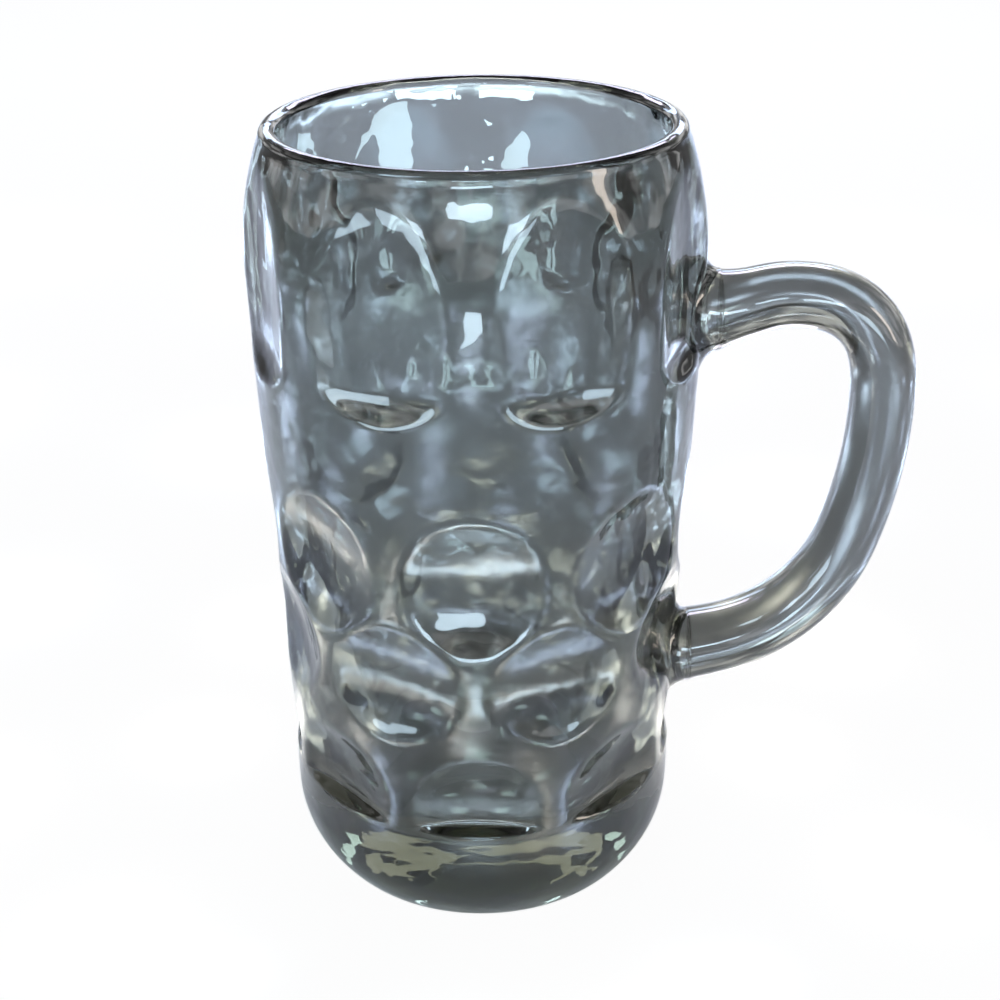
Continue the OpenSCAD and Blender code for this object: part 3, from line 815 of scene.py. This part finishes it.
# %% The room
CEILING, FILL = 0.12, 0.12
WALL_TOP, CEILING_FROM = math.sin(math.radians(8)), math.sin(math.radians(45))
CLOUDS, CLOUD_DETAIL, CLOUD_ROUGH = 4.4, 2.0, 0.5
CLOUD_FROM, CLOUD_TO, DARKEST, BRIGHTEST = 0.44, 0.58, 0.25, 1.8
world = bpy.data.worlds.new("studio")
world.use_nodes = True
tree = world.node_tree
tree.nodes.clear()
toward = add_node(tree, "ShaderNodeTexCoord").outputs["Generated"]
up = add_node(tree, "ShaderNodeSeparateXYZ", {0: toward}).outputs["Z"]
dimmed = add_node(tree, "ShaderNodeMapRange", {
    "Value": up, "From Min": WALL_TOP, "From Max": CEILING_FROM, "To Min": 1.0,
    "To Max": CEILING}, interpolation_type="SMOOTHSTEP")
cloud = add_node(tree, "ShaderNodeTexNoise", {
    "Vector": toward, "Scale": CLOUDS, "Detail": CLOUD_DETAIL,
    "Roughness": CLOUD_ROUGH})
cloudy = add_node(tree, "ShaderNodeMapRange", {
    "Value": cloud.outputs["Fac"], "From Min": CLOUD_FROM, "From Max": CLOUD_TO,
    "To Min": DARKEST, "To Max": BRIGHTEST})
room = add_node(tree, "ShaderNodeMath", {
    0: cloudy.outputs["Result"], 1: dimmed.outputs["Result"]}, operation="MULTIPLY")
rays = add_node(tree, "ShaderNodeLightPath").outputs
wall = add_node(tree, "ShaderNodeMath", {
    0: rays["Is Camera Ray"], 1: room.outputs[0]}, operation="MAXIMUM")
fill = add_node(tree, "ShaderNodeBackground", {"Color": linear("#ffffff"), "Strength": FILL})
bright = add_node(tree, "ShaderNodeBackground", {
    "Color": linear("#ffffff"), "Strength": wall.outputs[0]})
mixed = add_node(tree, "ShaderNodeMixShader", {
    0: seen_rays(tree), 1: fill.outputs[0], 2: bright.outputs[0]})
add_node(tree, "ShaderNodeOutputWorld", {"Surface": mixed.outputs[0]})
scene.world = world
print("room: light of", FILL, "from all sides, ceiling", CEILING, "as bright as the wall")

# %% [markdown]
# ## The lamps
# Each soft box stands where a highlight of the photograph points: the line of sight was mirrored
# in the skin at that highlight, and the box set on it. Most boxes show only as reflections. Those
# behind the mug, like cards in glass photography, also show through it, and draw its thickness.

# %% A soft box
COOL, SKY, DUSK, WARM, PAPER = "#d6efff", "#c8deff", "#e8e2ff", "#fff0e0", "#f2efe6"
MUG_MIDDLE = (0.0, 0.0, 0.1)


def soft_box(name, place, size, radiance, colour, aim=MUG_MIDDLE, through=False):
    """A rectangular soft box, as bright as so many white walls, that faces a point."""
    lamp = bpy.data.lights.new(name, "AREA")
    lamp.shape = "RECTANGLE"
    lamp.size, lamp.size_y = size
    lamp.energy = radiance * math.pi * size[0] * size[1]
    lamp.color = linear(colour)[:3]
    thing = bpy.data.objects.new(name, lamp)
    thing.location = place
    thing.rotation_euler = (Vector(aim) - Vector(place)).to_track_quat("-Z", "Y").to_euler()
    thing.visible_camera = False
    thing.visible_transmission = through
    scene.collection.objects.link(thing)


# %% Soft boxes in front, cards behind
MIRRORED = [  # name, place, width and height in metres, radiance, colour
    ("front_box", (0.0, -0.95, 0.49), (0.32, 0.075), 16.0, COOL),
    ("low_box", (0.0, -0.45, 0.035), (0.07, 0.06), 14.0, COOL),
    ("left_box", (-0.38, -0.46, 0.13), (0.18, 0.16), 9.0, COOL),
    ("right_box", (0.34, -0.48, 0.12), (0.10, 0.14), 9.0, COOL),
    ("window_box", (-0.50, -0.50, 0.85), (0.28, 0.20), 8.0, COOL),
    ("side_box", (0.80, -0.35, 0.35), (0.10, 0.40), 8.0, WARM),
    ("panel_box_left", (-0.26, -0.45, 0.235), (0.12, 0.07), 13.0, COOL),
    ("panel_box_right", (0.21, -0.45, 0.235), (0.11, 0.07), 13.0, COOL),
]
SEEN_THROUGH = [
    ("back_box", (0.0, 0.80, 0.70), (0.90, 0.16), 9.0, DUSK),
    ("mouth_card", (-0.10, 0.60, 0.07), (0.10, 0.08), 2.2, COOL),
    ("left_card", (-0.34, 0.42, 0.10), (0.03, 0.20), 1.6, COOL),
    ("low_card_left", (-0.05, 0.53, 0.02), (0.04, 0.03), 4.5, COOL),
    ("low_card_right", (0.005, 0.53, 0.02), (0.03, 0.03), 4.5, COOL),
]
for box in MIRRORED:
    soft_box(*box)
for box in SEEN_THROUGH:
    soft_box(*box, through=True)
print(len(bpy.data.lights), "soft boxes and cards")

# %% [markdown]
# Glass on a table throws small pools of light on the paper round it, and mirrors and bends them
# again in every dimple. A renderer is slow to find such pools, so small lamps just above the paper
# make them. Those in front lie where the sight lines at the photograph's soft highlights meet the
# table: the tops of the dimples and the land between them. A few lie in the hollow under the foot.
# The rest lie on a sunflower's spiral, which spreads them evenly all round, small near the mug and
# larger further out. A wide lamp lights the paper far behind, which shows in the mouth.

# %% Pools of light on the paper
def pool(name, x, y, height, size, radiance, colour):
    """A lamp that shines down on the paper."""
    soft_box(name, (x, y, height), size, radiance, colour, aim=(x, y, 0.0))


PLACED = [  # name, x, y, height, size in metres, radiance, colour
    ("sweep_light", 0.0, 1.2, 0.55, (1.2, 0.5), 5.2, SKY),
    ("front_pool", -0.004, -0.090, 0.010, (0.034, 0.009), 9.0, COOL),
    ("land_pool", -0.001, -0.145, 0.008, (0.028, 0.018), 20.0, COOL),
    ("arc_pool_left", -0.113, -0.119, 0.008, (0.030, 0.016), 16.0, COOL),
    ("arc_pool_right", 0.115, -0.130, 0.008, (0.030, 0.016), 16.0, COOL),
    ("brow_pool_left", -0.070, -0.067, 0.008, (0.024, 0.010), 11.0, SKY),
    ("brow_pool_right", 0.062, -0.067, 0.008, (0.024, 0.010), 11.0, SKY),
    ("far_pool", 0.0, 0.51, 0.03, (0.09, 0.06), 8.0, COOL),
]
for lamp in PLACED:
    pool(*lamp)
print(len(bpy.data.lights), "lamps so far")

# %% Pools under the foot and on the spiral
FIRST_TURN = 20.0
UNDER, UNDER_OUT, UNDER_HEIGHT, UNDER_SIZE, UNDER_LIGHT = 5, 0.018, 0.0008, (0.008, 0.005), 7.0
# On the spiral, a pool's width and height grow with its distance from the mug's axis.
POOLS, GOLDEN_TURN, NEAREST, SPREAD, CROWDING = 44, 137.5, 0.092, 0.60, 1.4
NEAR, POOL_LIGHT = 0.2, 20.0
WIDE_SHARE, WIDE_LEAST, HIGH_SHARE, HIGH_LEAST = 0.09, 0.005, 0.06, 0.01
for i in range(UNDER):
    turn = math.radians(360 / UNDER * i + FIRST_TURN)
    pool(f"under_pool_{i}", UNDER_OUT * math.cos(turn), UNDER_OUT * math.sin(turn), UNDER_HEIGHT,
         UNDER_SIZE, UNDER_LIGHT, COOL)
for i in range(POOLS):
    turn = math.radians(GOLDEN_TURN * i + FIRST_TURN)
    out = NEAREST + SPREAD * (i / POOLS) ** CROWDING
    wide = WIDE_SHARE * out + WIDE_LEAST
    pool(f"pool_{i}", out * math.cos(turn), out * math.sin(turn), HIGH_SHARE * out + HIGH_LEAST,
         (wide, wide), POOL_LIGHT, PAPER if out < NEAR else SKY)
print(len(bpy.data.lights), "lamps with the pools")

# %% [markdown]
# ## The camera
# It stands where the photograph's camera stood: 382 mm from the mug's axis and 288 mm above the
# table, turned down by 25.7 degrees. The small roll and shift are those of the photograph's frame.

# %% Camera
FOCAL_PX, CENTRE_PX = 1629.96, (478.64, 484.95)
FRAME_PX, SENSOR = 1000.0, 36.0
PLACE, HEADING, TURNED_DOWN, ROLL = (0.01133, -0.38174, 0.28791), 1.70, 25.675, -0.822
NEAR_CLIP, FAR_CLIP = 0.01, 50.0
cam = bpy.data.cameras.new("camera")
cam.sensor_width = SENSOR
cam.lens = SENSOR * FOCAL_PX / FRAME_PX
cam.shift_x = (FRAME_PX / 2 - CENTRE_PX[0]) / FRAME_PX
cam.shift_y = (CENTRE_PX[1] - FRAME_PX / 2) / FRAME_PX
cam.clip_start, cam.clip_end = NEAR_CLIP, FAR_CLIP
camera = bpy.data.objects.new("camera", cam)
camera.matrix_world = (Matrix.Translation(PLACE)
                       @ Matrix.Rotation(math.radians(HEADING), 4, "Z")
                       @ Matrix.Rotation(math.radians(90 - TURNED_DOWN), 4, "X")
                       @ Matrix.Rotation(math.radians(ROLL), 4, "Z"))
scene.collection.objects.link(camera)
scene.camera = camera
print("camera:", round(cam.lens, 2), "mm lens, turned down by", TURNED_DOWN, "degrees")
